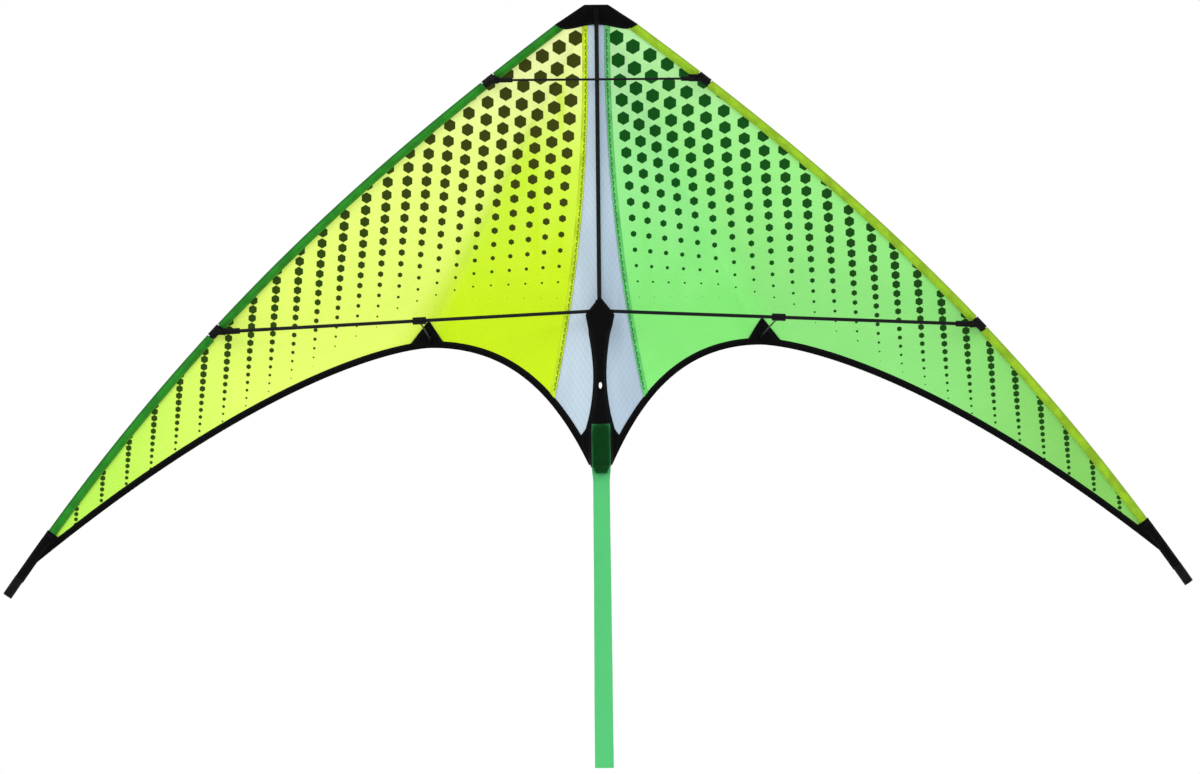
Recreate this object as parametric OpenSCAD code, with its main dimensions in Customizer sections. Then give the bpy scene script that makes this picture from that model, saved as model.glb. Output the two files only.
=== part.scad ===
// Dual-line delta kite with a bowed frame, a two-colour sail and a ribbon tail.
// Origin at the centre fitting, on the spine's axis. +X is the right wing as the flyer sees it,
// +Y points away from the flyer and +Z towards the nose. All sizes are in millimetres.

/* [Sail outline] */
// Distance between the two wing tips
span = 1520; // [1480:10:1560]
// Height of the nose above the centre fitting
nose_z = 390; // [386:1:394]
// Depth below the nose at which the line of the leading edges would meet the spine
le_start = -14.5; // [-16:0.5:-13]
// Drop of the leading edge for each millimetre outward, without its bow
le_slope = 0.745; // [0.74:0.005:0.75]
// Extra drop that the bow gives the leading edge at the wing tip
le_bow = 189.7; // [185:1:194]
// How late the bow sets in
le_power = 2.8; // [2.6:0.1:3]
// Depth of the trailing edge at the standoffs
te_depth = 435; // [434:1:440]
// Distance from the spine to the trailing edge's highest place
standoff_x = 212; // [208:1:216]
// Width of the sleeve that holds a leading edge rod
sleeve_w = 10; // [10:0.5:11]
// Width of the binding along the trailing edge
binding_w = 9; // [8:0.5:10]

/* [Sail shape] */
// How far the standoffs push the trailing edge back
billow = 108; // [100:2:112]
// How far the wing tips are raked back
rake = 55; // [50:1:58]
// Thickness of the sailcloth solids
cloth_t = 0.8; // [0.6:0.1:1]

/* [Frame] */
// Radius of the spine rod
spine_r = 2.75; // [2.5:0.05:2.8]
// Radius of the leading edge rods
le_r = 2.5; // [2.3:0.05:2.5]
// Radius of the lower spreader rods
lower_r = 2.25; // [2:0.05:2.25]
// Radius of the upper spreader rod
upper_r = 1.5; // [1.3:0.05:1.5]
// Radius of the standoff rods
standoff_r = 1; // [0.8:0.05:1.1]
// Distance from the spine to the upper leading edge fittings
upper_fit_x = 140; // [138:1:142]
// Distance from the spine to the lower leading edge fittings
lower_fit_x = 492; // [490:1:494]
// Distance from the spine to the standoff connectors
connector_x = 230; // [228:1:232]

/* [Tail] */
// Width of the tail ribbon
ribbon_w = 22; // [18:1:24]
// Length of the tail ribbon
ribbon_l = 438; // [400:1:450]

/* [Hidden] */

half = span / 2;
gap = 0.4;
step = 0.5;
rod_sides = 12;

// Sailcloth at the spine lies just behind the spine rod.
sail_y = spine_r + 1.5;
le_y0 = 2;
wing_reach = 1042;
// The ridge runs from the nose to a point this far above the trailing edge.
ridge_foot = 12;
ridge_angle = atan2(standoff_x, te_depth - ridge_foot);
ridge_reach = 620;
// Angle from the spine to the leading edge, at the nose and how much less of it at the tip.
le_angle_nose = 60;
le_angle_fall = 14;
le_angle_power = 0.75;

// Outlines, as heights above the centre fitting at a distance x from the spine.
function le_z(x) = nose_z - le_start - le_slope * x - le_bow * pow(x / half, le_power);
// The trailing edge drops from the standoffs to the spine and to the tips.
te_top_x = 210;
te_in_square = 107.5;
te_in_fourth = 79.3;
function te_in(u) = te_in_square * u * u + te_in_fourth * pow(u, 4);
te_out_x = 213;
te_out_drop = 302;
te_out_power = 1.5;
function te_z(x) = nose_z - te_depth - (x < te_top_x
    ? te_in((te_top_x - x) / te_top_x)
    : te_out_drop * pow(max(0, x - te_out_x) / (half - te_out_x), te_out_power));
function le_m(x) = (le_z(x + step) - le_z(x - step)) / (2 * step);
function te_m(x) = (te_z(x + step) - te_z(x - step)) / (2 * step);
// A point w inside the leading or the trailing edge, as [x, z].
function le_in(x, w) = [x, le_z(x)] + w * [le_m(x), -1] / norm([le_m(x), 1]);
function te_at(x, w) = [x, te_z(x)] + w * [-te_m(x), 1] / norm([te_m(x), 1]);

function mix(a, b, t) = a + (b - a) * t;
function clamp01(t) = min(1, max(0, t));
function le_y(r) = le_y0 + rake * r / wing_reach;
function ridge_y(r) = sail_y + billow * sin(90 * min(1, r / ridge_reach));
function le_angle(r) = le_angle_nose - le_angle_fall * pow(r / wing_reach, le_angle_power);
// Depth of the sail at [x, z]: two facets that meet along the line from the nose to the standoff.
function cloth_y(p) =
    let(r = norm([p.x, nose_z - p.y]), a = atan2(p.x, nose_z - p.y))
    a < ridge_angle
    ? mix(sail_y, ridge_y(r), a / ridge_angle)
    : mix(ridge_y(r), le_y(r), clamp01((a - ridge_angle) / (le_angle(r) - ridge_angle)));
function lift(p, dy = 0) = [p.x, cloth_y(p) + dy, p.y];

// Axis of the leading edge rods.
function le_axis(x) = let(p = le_in(x, sleeve_w / 2)) [p.x, le_y(norm([p.x, nose_z - p.y])), p.y];
function le_dir(x) = let(d = le_axis(x + 4) - le_axis(x - 4)) d / norm(d);

upper_fit = le_axis(upper_fit_x);
lower_fit = le_axis(lower_fit_x);
// Pivots of the spreaders, in front of and inboard of the leading edge rods.
upper_pin = [upper_fit.x - 9, -spine_r - upper_r - 0.9, upper_fit.z];
lower_pin = [lower_fit.x - 11, lower_fit.y - 11.5, lower_fit.z];
hub_y = -spine_r - lower_r - 3;
lower_start = [8, hub_y, 0];
lower_dir = (lower_pin - [0, hub_y, 0]) / norm(lower_pin - [0, hub_y, 0]);
connector = [0, hub_y, 0] + lower_dir * connector_x;
patch_xz = [standoff_x, nose_z - te_depth + 11];
standoff_seat = [patch_xz.x, cloth_y(patch_xz) - 6.2, patch_xz.y];
standoff_head = connector + [0, lower_r + 2.6, 0];

module both(side) {
    mirror([side < 0 ? 1 : 0, 0, 0]) children();
}

// Turns +Z to the direction d and moves to p.
module along(p, d) {
    u = d / norm(d);
    translate(p) rotate([0, acos(u.z), atan2(u.y, u.x)]) children();
}

module rod(a, b, r) {
    along(a, b - a) cylinder(h = norm(b - a), r = r, $fn = 32);
}

// A closed sheet of thickness t on a grid of points, with t laid along Y.
module sheet(grid, t) {
    rows = len(grid);
    cols = len(grid[0]);
    n = rows * cols;
    points = [for (side = [-1, 1], row = grid, p = row) p + [0, side * t / 2, 0]];
    faces = [
        for (i = [0:rows - 2], j = [0:cols - 2]) let(a = i * cols + j)
            each [[a, a + 1, a + cols + 1], [a, a + cols + 1, a + cols],
                [n + a, n + a + cols + 1, n + a + 1], [n + a, n + a + cols, n + a + cols + 1]],
        for (j = [0:cols - 2]) let(b = n - cols + j)
            each [[j, n + j, n + j + 1], [j, n + j + 1, j + 1],
                [b, b + 1, n + b + 1], [b, n + b + 1, n + b]],
        for (i = [0:rows - 2]) let(a = i * cols, b = a + cols - 1)
            each [[a, a + cols, n + a + cols], [a, n + a + cols, n + a],
                [b, n + b, n + b + cols], [b, n + b + cols, b + cols]]
    ];
    polyhedron(points, faces, convexity = 6);
}

// Rings of an oval section along a leading edge, a wide in the sail's plane and b deep.
function le_rings(x0, x1, a, b, rings) = [for (i = [0:rings], k = [0:rod_sides - 1])
    let(x = mix(x0, x1, i / rings), m = le_m(x), t = 360 * k / rod_sides)
    le_axis(x) + [m, 0, -1] / norm([m, 1]) * (a * cos(t)) + [0, b * sin(t), 0]];
// Faces between the rings; turned round, they face inward.
function ring_faces(rings, first, inward = false) = [for (i = [0:rings - 1], k = [0:rod_sides - 1])
    let(p = first + i * rod_sides, q = (k + 1) % rod_sides,
        f = [[p + k, p + rod_sides + k, p + q], [p + q, p + rod_sides + k, p + rod_sides + q]])
    each inward ? [for (g = f) [g[2], g[1], g[0]]] : f];

// A solid rod along a leading edge.
module le_tube(x0, x1, r, rings) {
    polyhedron(le_rings(x0, x1, r, r, rings), concat(ring_faces(rings, 0), [
        [for (k = [0:rod_sides - 1]) k],
        [for (k = [rod_sides - 1:-1:0]) rings * rod_sides + k]]), convexity = 6);
}

// A sleeve round a leading edge rod, with a round way through it.
module le_sleeve_part(x0, x1, a, b, bore, rings) {
    n = (rings + 1) * rod_sides;
    last = rings * rod_sides;
    ends = [for (k = [0:rod_sides - 1]) let(q = (k + 1) % rod_sides)
        each [[k, q, n + k], [q, n + q, n + k],
            [last + k, n + last + k, last + q], [last + q, n + last + k, n + last + q]]];
    polyhedron(concat(le_rings(x0, x1, a, b, rings), le_rings(x0, x1, bore, bore, rings)),
        concat(ring_faces(rings, 0), ring_faces(rings, n, true), ends), convexity = 6);
}

// Spine and nose
module spine_rod() {
    color("#2b2b2e") rod([0, 0, -198], [0, 0, nose_z - 6], spine_r);
}

module spine_end_cap() {
    color("#141414") difference() {
        translate([0, 0, -206]) cylinder(h = 26, r = spine_r + 0.6, $fn = 32);
        translate([0, 0, -198]) cylinder(h = 30, r = spine_r + 0.05, $fn = 32);
    }
}

nose_half = 15;
shoulder = [51, nose_z - 26.5];
cap_front = -7.6;
cap_back = 15;
cap_wall = 1.4;
module nose_outline(inset) {
    polygon([[-nose_half, nose_z - inset], [nose_half, nose_z - inset],
        [shoulder.x - inset, shoulder.y - inset], [shoulder.x - 2, shoulder.y - 6 - 20 * inset],
        [0, nose_z - 25 - 20 * inset], [2 - shoulder.x, shoulder.y - 6 - 20 * inset],
        [inset - shoulder.x, shoulder.y - inset]]);
}

module nose_cap() {
    color("#161616") difference() {
        translate([0, cap_back, 0]) rotate([90, 0, 0])
            linear_extrude(cap_back - cap_front) nose_outline(0);
        translate([0, cap_back - cap_wall, 0]) rotate([90, 0, 0])
            linear_extrude(cap_back - cap_front - 2 * cap_wall) nose_outline(cap_wall);
        for (side = [-1, 1]) both(side) along(le_axis(rod_top_x - 4), le_dir(rod_top_x + 10))
            cylinder(h = 60, r = le_r + 1.2, $fn = 32);
    }
}

// Moulded cross on the spine: each spreader half rests on a floor that is open above and behind.
saddle_start = 4;
saddle_end = 17;
saddle_wall = 2;
module saddle() {
    tilt = atan2(lower_dir.z, lower_dir.x);
    length = saddle_end - saddle_start;
    corner = -lower_r - gap - saddle_wall;
    translate([0, hub_y, 0]) rotate([0, -tilt, 0]) translate([saddle_start, corner, corner]) {
        cube([length, saddle_wall, 2 * lower_r + saddle_wall + gap]);
        cube([length, 2 * lower_r + gap + saddle_wall, saddle_wall]);
    }
}

module centre_fitting() {
    color("#1a1a1a") difference() {
        union() {
            translate([0, 0, -14]) cylinder(h = 28, r = spine_r + 2.2, $fn = 40);
            translate([-5, hub_y - 4.4, -8]) cube([10, -hub_y + 4.4, 16]);
            saddle();
            mirror([1, 0, 0]) saddle();
        }
        translate([0, 0, -20]) cylinder(h = 40, r = spine_r + 0.05, $fn = 40);
        translate([-20, sail_y - cloth_t / 2 - gap, -20]) cube(40);
    }
}

// Webbing over the centre fitting and down the spine, as [height, half-width, depth].
strap_front = hub_y - 5.4;
strap_back = -spine_r - 1.4;
strap = [[18, 0.6, strap_front], [-5, 18.5, strap_front], [-24, 15, strap_front],
    [-50, 11.5, strap_back], [-78, 9, strap_back], [-104, 10.5, strap_back],
    [-130, 15, strap_back], [-149, 21, strap_back]];
module spine_reinforcement() {
    color("#151515") sheet([for (s = strap) [for (x = [-1, 0, 1]) [x * s[1], s[2], s[0]]]], 1);
}

// Webbing pocket that fills the sail's lower corner and closes round the spine's end.
pocket_wall = 1.2;
pocket_back = sail_y + 3.4;
pocket_front = strap_back - 0.5;
pocket_top = [25, -150];
pocket_end = [7, -209];
module tail_pocket() {
    color("#151515") difference() {
        translate([0, pocket_back, 0]) rotate([90, 0, 0])
            linear_extrude(pocket_back - pocket_front) pocket_outline(0);
        translate([0, pocket_back - pocket_wall, 0]) rotate([90, 0, 0])
            linear_extrude(pocket_back - pocket_front - 2 * pocket_wall) pocket_outline(pocket_wall);
    }
}

// The sides follow the sail's outer line; an inset outline runs out through the open top.
module pocket_outline(inset) {
    side = concat([pocket_top + inset * [-1, 20]], [for (x = [33, 21, 13]) te_at(x, inset)],
        [pocket_end + inset * [-0.6, 1]]);
    polygon(concat(side, [for (i = [len(side) - 1:-1:0]) [-side[i].x, side[i].y]]));
}

ribbon_top = nose_z - 534;
ribbon_y = strap_back - 1.9;
module tail_tab() {
    color("#1c5a30") translate([-ribbon_w / 2 + 2, ribbon_y + 0.45, ribbon_top - 14])
        cube([ribbon_w - 4, 0.9, 12]);
}

module tail_ribbon() {
    color("#55cd78") translate([-ribbon_w / 2, ribbon_y - 0.4, ribbon_top - ribbon_l])
        cube([ribbon_w, 0.8, ribbon_l]);
}

// Sailcloth
edge_gap = 1.2;
seam_top = 12;
seam_foot = 57.5;
panel_foot = -148;
panel_rows = 12;
cloth_z0 = nose_z - 27;
panel_edge = 1.8;
// Foot of a centre panel at x, above a binding w wide.
function foot(x, w) = [x, max(te_z(x) + w * norm([te_m(x), 1]), panel_foot)];
module centre_panel(side) {
    cols = 3;
    both(side) sheet([for (j = [0:panel_rows]) [for (i = [0:cols])
        let(a = [mix(panel_edge, seam_top - gap, i / cols), cloth_z0],
            outer = te_at(seam_foot, binding_w + edge_gap).x - gap,
            b = foot(mix(panel_edge, outer, i / cols), binding_w + edge_gap))
        lift(mix(a, b, j / panel_rows))]], cloth_t);
}

sail_end = 715;
module sail(side) {
    cols = 18;
    rows = 6;
    both(side) sheet([for (j = [0:rows]) [for (i = [0:cols])
        let(s = pow(i / cols, 1.1),
            under = le_in(mix(seam_top, sail_end, s), sleeve_w + 0.6),
            a = i == 0 ? [seam_top, cloth_z0] : [under.x, min(under.y, cloth_z0)],
            b = te_at(mix(seam_foot, sail_end - 12, s), binding_w + edge_gap))
        lift(mix(a, b, j / rows))]], cloth_t);
}

// The binding narrows at the tip, where the two edges of the wing close in on each other.
binding_x0 = 37;
binding_x1 = 714;
function binding_at(x) =
    min(binding_w, (le_z(x) - te_z(x)) / norm([le_m(x), 1]) - sleeve_w - 2);
module trailing_edge_binding(side) {
    marks = 70;
    both(side) sheet([for (i = [0:marks])
        let(x = mix(binding_x0, binding_x1, i / marks))
        [lift(te_at(x, binding_at(x))), lift(te_at(x, 0))]], 1.6);
}

// Leading edges
sleeve_x0 = 56;
sleeve_t = 9;
sleeve_bore = 3.7;
tip_x = 704;
module leading_edge_sleeve(side) {
    both(side) {
        le_sleeve_part(sleeve_x0, upper_fit_x - 12, sleeve_w / 2, sleeve_t / 2, sleeve_bore, 3);
        le_sleeve_part(upper_fit_x + 12, lower_fit_x - 12, sleeve_w / 2, sleeve_t / 2, sleeve_bore, 9);
        le_sleeve_part(lower_fit_x + 12, tip_x, sleeve_w / 2, sleeve_t / 2, sleeve_bore, 6);
    }
}

rod_top_x = 24;
joint_x = 540;
module upper_leading_edge_rod(side) {
    color("#333338") both(side) le_tube(rod_top_x, joint_x, le_r, 16);
}

rod_end_x = 757;
module lower_leading_edge_rod(side) {
    color("#333338") both(side) le_tube(joint_x + gap, rod_end_x, le_r, 8);
}

module leading_edge_ferrule(side) {
    length = 60;
    color("#8a8a8e") both(side) difference() {
        along(le_axis(joint_x), le_dir(joint_x))
            translate([0, 0, -length / 2]) cylinder(h = length, r = 3.35, $fn = 32);
        along(le_axis(joint_x), le_dir(joint_x))
            translate([0, 0, -length]) cylinder(h = 2 * length, r = le_r + 0.3, $fn = 32);
    }
}

tip_start = le_axis(rod_end_x - 12);
module tip_pocket(side) {
    color("#151515") both(side)
        le_sleeve_part(tip_x + 1, rod_end_x - 13, sleeve_w / 2 + 1, sleeve_t / 2 + 0.3, le_r + 0.5, 3);
}

// Moulded end of the leading edge, a plain round peg outside.
tip_cap_r = 6.2;
tip_cap_l = 28;
module tip_cap(side) {
    color("#101010") both(side) along(tip_start, le_dir(rod_end_x - 6)) difference() {
        cylinder(h = tip_cap_l, r = tip_cap_r, $fn = 40);
        translate([0, 0, -1]) cylinder(h = tip_cap_l - 4, r = le_r + 0.3, $fn = 32);
    }
}

// Fittings on the leading edges
collar_l = 17;
pin_r = 1.6;
module collar(fit_x, pin, rod_radius) {
    fit = le_axis(fit_x);
    eye = rod_radius + 1.6;
    difference() {
        union() {
            along(fit, le_dir(fit_x)) translate([0, 0, -collar_l / 2])
                cylinder(h = collar_l, r = le_r + 2.9, $fn = 40);
            hull() {
                translate([pin.x, fit.y, pin.z]) rotate([90, 0, 0])
                    cylinder(h = fit.y - pin.y - eye - gap, r = 4, $fn = 32);
                translate([fit.x - 1, fit.y, fit.z]) rotate([90, 0, 0])
                    cylinder(h = le_r + 1.5, r = 4, $fn = 32);
            }
        }
        along(fit, le_dir(fit_x)) translate([0, 0, -collar_l])
            cylinder(h = 2 * collar_l, r = le_r + 0.2, $fn = 40);
    }
    translate([pin.x, pin.y + eye + gap + 0.2, pin.z]) rotate([90, 0, 0])
        cylinder(h = 2 * eye + 1.4, r = pin_r, $fn = 32);
}

// Eye that turns on a collar's pin, with a cup for the end of a spreader rod.
module socket(pin, toward, rod_radius, cup_l) {
    eye = rod_radius + 1.6;
    d = (toward - pin) / norm(toward - pin);
    difference() {
        union() {
            translate(pin + [0, eye, 0]) rotate([90, 0, 0]) cylinder(h = 2 * eye, r = 4.4, $fn = 40);
            rod(pin, pin + d * cup_l, rod_radius + 1.5);
        }
        translate(pin + [0, 20, 0]) rotate([90, 0, 0]) cylinder(h = 40, r = pin_r + 0.06, $fn = 40);
        rod(pin + d * 5.5, pin + d * 2 * cup_l, rod_radius + 0.05);
    }
}

module upper_collar(side) {
    color("#161616") both(side)
        if (side < 0) collar(upper_fit_x, upper_pin, upper_r);
        else open_collar();
}

// The right upper fitting has no pin: the spreader's end rests behind a hook, open below and in front.
module open_collar() {
    fit = upper_fit;
    back = upper_pin.y + upper_r + 2;
    difference() {
        union() {
            along(fit, le_dir(upper_fit_x)) translate([0, 0, -collar_l / 2])
                cylinder(h = collar_l, r = le_r + 2.9, $fn = 40);
            translate([fit.x - 20, back, fit.z - 3.5]) cube([20, 2, 9]);
            translate([fit.x - 20, upper_pin.y - 1, fit.z + 3.5]) cube([18, back - upper_pin.y + 2, 2]);
        }
        along(fit, le_dir(upper_fit_x)) translate([0, 0, -collar_l])
            cylinder(h = 2 * collar_l, r = le_r + 0.2, $fn = 40);
    }
}

module lower_collar(side) {
    color("#161616") both(side) collar(lower_fit_x, lower_pin, lower_r);
}

cup_l = 20;
upper_left = [-upper_pin.x, upper_pin.y, upper_pin.z];
upper_right = upper_pin - [3, 0, 0];
module upper_spreader_rod() {
    color("#2b2b2e") rod(upper_left + [5.6, 0, 0], upper_right - [1.5, 0, 0], upper_r);
}

module upper_socket_left() {
    color("#161616") socket(upper_left, upper_right, upper_r, cup_l);
}

module upper_end_sleeve_right() {
    color("#161616") difference() {
        rod(upper_right - [18, 0, 0], upper_right, upper_r + 1.5);
        rod(upper_right - [20, 0, 0], upper_right - [1.4, 0, 0], upper_r + 0.05);
    }
}

// Lower spreader
module lower_spreader_rod(side) {
    color("#2b2b2e") both(side)
        rod([0, hub_y, 0] + lower_dir * 8, lower_pin - lower_dir * 5.6, lower_r);
}

module lower_socket(side) {
    color("#161616") both(side) socket(lower_pin, lower_start, lower_r, cup_l);
}

// Clip on the spreader with a cup behind it for the standoff's head.
standoff_dir = (standoff_seat - standoff_head) / norm(standoff_seat - standoff_head);
connector_half = 8.5;
connector_wall = 2.4;
module standoff_connector(side) {
    color("#161616") both(side) difference() {
        union() {
            rod(connector - lower_dir * connector_half, connector + lower_dir * connector_half,
                lower_r + connector_wall);
            rod(connector, standoff_head + standoff_dir * 9, standoff_r + 1.5);
        }
        rod(connector - lower_dir * 2 * connector_half, connector + lower_dir * 2 * connector_half,
            lower_r + 0.05);
        rod(standoff_head + standoff_dir * 1.6, standoff_head + standoff_dir * 12, standoff_r + 0.1);
    }
}

module standoff_rod(side) {
    color("#2b2b2e") both(side)
        rod(standoff_head + standoff_dir * 2, standoff_seat, standoff_r);
}

module standoff_cap(side) {
    color("#161616") both(side) difference() {
        rod(standoff_seat - standoff_dir * 8, standoff_seat + standoff_dir * 1.2, standoff_r + 1.2);
        rod(standoff_seat - standoff_dir * 9, standoff_seat + standoff_dir * 0.05, standoff_r + 0.05);
    }
}

// Triangular patch on the front of the trailing edge, where the standoff is seated.
module standoff_patch(side) {
    patch_w = 56;
    patch_h = 34;
    foot_z = nose_z - te_depth;
    color("#151515") both(side) sheet([for (j = [0:3]) [for (i = [-1:1])
        let(w = mix(0.03, 0.5, j / 3) * patch_w)
        lift([standoff_x + i * w, mix(foot_z + patch_h, foot_z + 1, j / 3)], -2.9)]], 0.9);
}

spine_rod();
spine_end_cap();
nose_cap();
centre_fitting();
spine_reinforcement();
tail_pocket();
tail_tab();
tail_ribbon();
color("#b4c4d8") centre_panel(-1);  // centre_panel_left
color("#c2d2e4") centre_panel(1);  // centre_panel_right
color("#d8fa40") sail(-1);  // sail_left
color("#82f56e") sail(1);  // sail_right
color("#148219") leading_edge_sleeve(-1);  // leading_edge_sleeve_left
color("#a5c81e") leading_edge_sleeve(1);  // leading_edge_sleeve_right
color("#151515") trailing_edge_binding(-1);  // trailing_edge_binding_left
color("#151515") trailing_edge_binding(1);  // trailing_edge_binding_right
upper_leading_edge_rod(-1);  // upper_leading_edge_rod_left
upper_leading_edge_rod(1);  // upper_leading_edge_rod_right
lower_leading_edge_rod(-1);  // lower_leading_edge_rod_left
lower_leading_edge_rod(1);  // lower_leading_edge_rod_right
leading_edge_ferrule(-1);  // leading_edge_ferrule_left
leading_edge_ferrule(1);  // leading_edge_ferrule_right
tip_pocket(-1);  // tip_pocket_left
tip_pocket(1);  // tip_pocket_right
tip_cap(-1);  // tip_cap_left
tip_cap(1);  // tip_cap_right
upper_collar(-1);  // upper_collar_left
upper_collar(1);  // upper_collar_right
lower_collar(-1);  // lower_collar_left
lower_collar(1);  // lower_collar_right
upper_spreader_rod();
upper_socket_left();
upper_end_sleeve_right();
lower_spreader_rod(-1);  // lower_spreader_rod_left
lower_spreader_rod(1);  // lower_spreader_rod_right
lower_socket(-1);  // lower_socket_left
lower_socket(1);  // lower_socket_right
standoff_connector(-1);  // standoff_connector_left
standoff_connector(1);  // standoff_connector_right
standoff_rod(-1);  // standoff_rod_left
standoff_rod(1);  // standoff_rod_right
standoff_cap(-1);  // standoff_cap_left
standoff_cap(1);  // standoff_cap_right
standoff_patch(-1);  // standoff_patch_left
standoff_patch(1);  // standoff_patch_right
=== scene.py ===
"""Looks of the dual-line delta kite: cloth, webbing, stitches, rods and fittings, light and camera.

Lengths are in millimetres and become metres where a mesh is made. X is right, Y away from the
flyer, Z up, and the origin is the centre fitting. side is -1 for the left wing and 1 for the right.
"""

import math

import bpy
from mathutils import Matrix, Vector, noise


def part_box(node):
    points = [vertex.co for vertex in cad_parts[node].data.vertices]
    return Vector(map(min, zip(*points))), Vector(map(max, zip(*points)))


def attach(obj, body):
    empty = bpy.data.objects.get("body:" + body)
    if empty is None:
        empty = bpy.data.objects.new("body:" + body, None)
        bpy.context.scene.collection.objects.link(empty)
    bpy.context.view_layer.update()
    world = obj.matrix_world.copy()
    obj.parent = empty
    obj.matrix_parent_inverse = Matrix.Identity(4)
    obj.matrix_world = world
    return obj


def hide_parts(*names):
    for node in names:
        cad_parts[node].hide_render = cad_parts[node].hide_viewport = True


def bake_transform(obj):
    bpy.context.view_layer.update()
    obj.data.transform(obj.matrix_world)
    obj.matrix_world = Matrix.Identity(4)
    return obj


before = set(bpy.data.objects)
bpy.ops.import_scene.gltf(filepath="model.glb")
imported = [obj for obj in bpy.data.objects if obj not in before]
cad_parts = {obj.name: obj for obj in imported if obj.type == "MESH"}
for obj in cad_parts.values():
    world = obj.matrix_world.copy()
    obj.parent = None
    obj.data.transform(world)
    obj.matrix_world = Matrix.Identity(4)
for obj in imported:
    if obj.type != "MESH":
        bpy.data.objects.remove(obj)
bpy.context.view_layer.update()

MM = 0.001
SIDES = {-1: "left", 1: "right"}


def low(node):
    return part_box(node)[0] / MM


def high(node):
    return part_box(node)[1] / MM


# Camera: a long lens straight in front, turned a little because the kite hangs slightly askew.
VIEW_W = 1528.0
AIM = (-0.3, 0.0, -97.0)
DISTANCE = 12000.0
ROLL = 0.0105
YAW = 0.052
camera = bpy.data.objects.new("camera", bpy.data.cameras.new("camera"))
camera.data.sensor_width = 36
camera.data.lens = 36 * DISTANCE / VIEW_W
camera.data.clip_end = 100
camera.location = (
    (AIM[0] - DISTANCE * math.sin(YAW)) * MM,
    -DISTANCE * math.cos(YAW) * MM,
    AIM[2] * MM,
)
camera.rotation_euler = (math.pi / 2, ROLL, -YAW)
bpy.context.scene.collection.objects.link(camera)
bpy.context.scene.camera = camera

# Driving sizes: the nose's height and the cloth's depth come from the frame, and the rest are
# given here, as in the CAD.
NOSE_Z = high("nose_cap").z
HALF = 760.0
CLOTH_Y = high("spine_rod").y + 1.5
SLEEVE = 10.0
BINDING = 9.0
# The cloth ends this far inside the trailing edge, just under the tape.
HEM = BINDING - 2
STANDOFF_X = 212.0
FIT_X = (140.0, 492.0)
SEAM_TOP = 12.0
SEAM_FOOT = 63.5
CREASE_TOP = 14.5
CLOTH_T = 0.3

# Leading edge: a straight slope with a droop that grows towards the tip.
LE_RISE = 14.5
LE_SLOPE = 0.745
LE_DROOP = 189.7
LE_POWER = 2.8

# Trailing edge: steep beside the spine, level at TE_DEPTH near the standoff, then down to the tip.
TE_DEPTH = 435.0
TE_INNER = 210.0
TE_STEEP = (107.5, 79.3)
TE_OUTER = 213.0
TE_FALL = 302.0
TE_POWER = 1.5

# Depths: the standoff pushes the sail back by BILLOW, and the tips are raked back by RAKE.
BILLOW = 108.0
BILLOW_REACH = 620.0
RAKE = 55.0
REACH = 1042.0
LE_START_Y = 2.0
# Angle of the crease from the spine, seen from the nose; its foot is RIDGE_FOOT above the hollow.
RIDGE_FOOT = 12
RIDGE = math.atan2(STANDOFF_X, TE_DEPTH - RIDGE_FOOT)
# Angle of the leading edge from the spine, which closes by EDGE_CLOSING from the nose to REACH.
EDGE_ANGLE = 60.0
EDGE_CLOSING = 14.0
EDGE_POWER = 0.75


def clamp(t, a=0.0, b=1.0):
    return min(b, max(a, t))


def mix(a, b, t):
    return a + (b - a) * t


def mix_pair(a, b, t):
    return mix(a[0], b[0], t), mix(a[1], b[1], t)


def smooth(a, b, x):
    t = clamp((x - a) / (b - a))
    return t * t * (3 - 2 * t)


def rounded(rim, thin):
    """Share of a webbing's thickness beside its rim: thin at 0, full at 1, on a round."""
    return thin + (1 - thin) * math.sqrt(max(0.0, 1 - (1 - clamp(rim)) ** 2))


# Outlines: heights of the leading and trailing edges at a distance x from the spine.
def le_z(x):
    return NOSE_Z + LE_RISE - LE_SLOPE * x - LE_DROOP * (max(0, x) / HALF) ** LE_POWER


def te_z(x):
    if x < TE_INNER:
        u = (TE_INNER - x) / TE_INNER
        return NOSE_Z - TE_DEPTH - TE_STEEP[0] * u**2 - TE_STEEP[1] * u**4
    return NOSE_Z - TE_DEPTH - TE_FALL * (max(0, x - TE_OUTER) / (HALF - TE_OUTER)) ** TE_POWER


def slope(edge, x):
    return edge(x + 0.5) - edge(x - 0.5)


def inward(edge, x):
    """Unit normal of an edge in the sail's plane, towards the cloth, as (x, z)."""
    m = slope(edge, x)
    n = math.hypot(m, 1)
    return (m / n, -1 / n) if edge is le_z else (-m / n, 1 / n)


def inside(edge, x, w):
    """The point w inside an edge, as (x, z)."""
    n = inward(edge, x)
    return x + w * n[0], edge(x) + w * n[1]


def hem_z(x, z):
    """z, or the height of the cloth's hem behind the trailing edge tape where that is higher."""
    return max(z, te_z(x) + HEM * math.hypot(slope(te_z, x), 1))


def le_y(r):
    """Depth of the leading edge at a distance r from the nose."""
    return LE_START_Y + RAKE * r / REACH


def ridge_y(r):
    """Depth of the crease between the nose and the standoff."""
    return CLOTH_Y + BILLOW * math.sin(math.pi / 2 * min(1, r / BILLOW_REACH))


def polar(x, z):
    """Distance from the nose and angle from the spine."""
    return math.hypot(x, NOSE_Z - z), math.atan2(x, NOSE_Z - z)


def cloth_y(x, z):
    """Depth of the sail: two facets that meet on the line from the nose to the standoff."""
    r, a = polar(x, z)
    if a < RIDGE:
        return mix(CLOTH_Y, ridge_y(r), max(0, a) / RIDGE)
    edge = math.radians(EDGE_ANGLE - EDGE_CLOSING * (r / REACH) ** EDGE_POWER)
    return mix(ridge_y(r), le_y(r), clamp((a - RIDGE) / (edge - RIDGE)))


def lift(p, dy=0.0):
    """The point (x, z) on the sail, dy behind it."""
    return Vector((p[0], cloth_y(*p) + dy, p[1]))


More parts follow.
